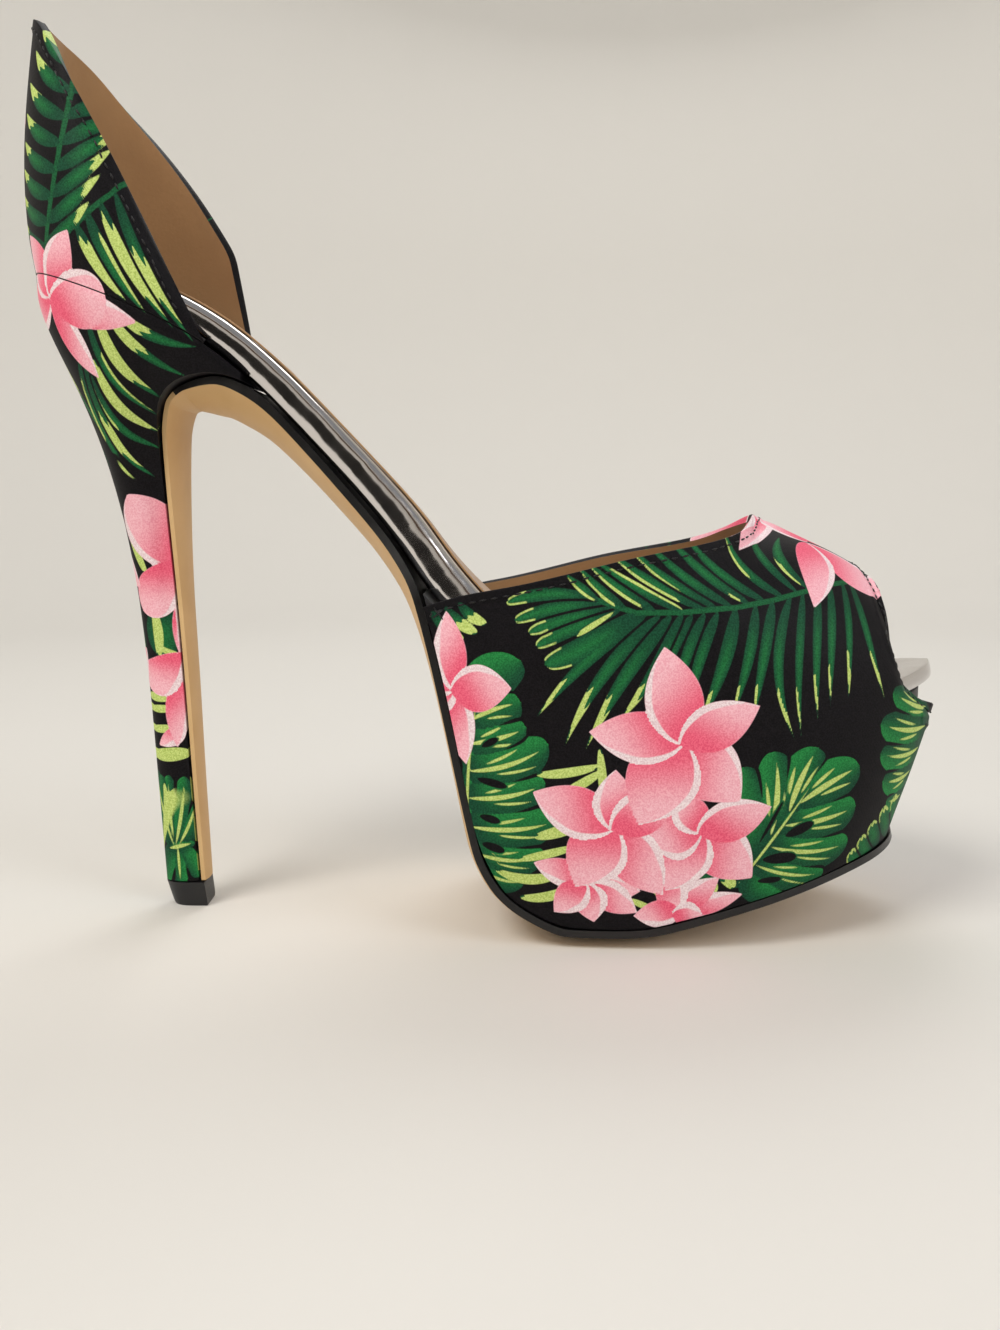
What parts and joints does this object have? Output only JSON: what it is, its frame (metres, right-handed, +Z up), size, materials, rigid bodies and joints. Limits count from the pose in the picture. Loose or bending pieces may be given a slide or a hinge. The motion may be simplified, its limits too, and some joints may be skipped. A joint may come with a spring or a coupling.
{
  "type": "platform pump",
  "caption": "Peep-toe platform pump with cut-away sides, a closed heel cup, a covered platform under the forefoot and a tall slim covered heel.",
  "frame": {"origin": "middle of the flat under the ball of the foot, on the floor", "axes": "+X from heel to toe, +Z up, -Y to the outer side of the foot"},
  "size_m": [0.2145, 0.0764, 0.2054],
  "materials": {
    "printed_satin": "black satin with a printed flower and leaf pattern",
    "silver_foil": "mirror-bright silver foil",
    "beige_sole": "matt",
    "black_cover": "plain black satin and edge paint",
    "tan_lining": "napped",
    "black_plastic": "moulded"
  },
  "bodies": {
    "root": {"outsole": "beige_sole", "platform": "black_cover", "insole": "silver_foil", "sock": "tan_lining", "upper_vamp": "printed_satin", "upper_counter": "printed_satin", "heel": "printed_satin", "top_piece": "black_plastic"}
  },
  "joints": []
}
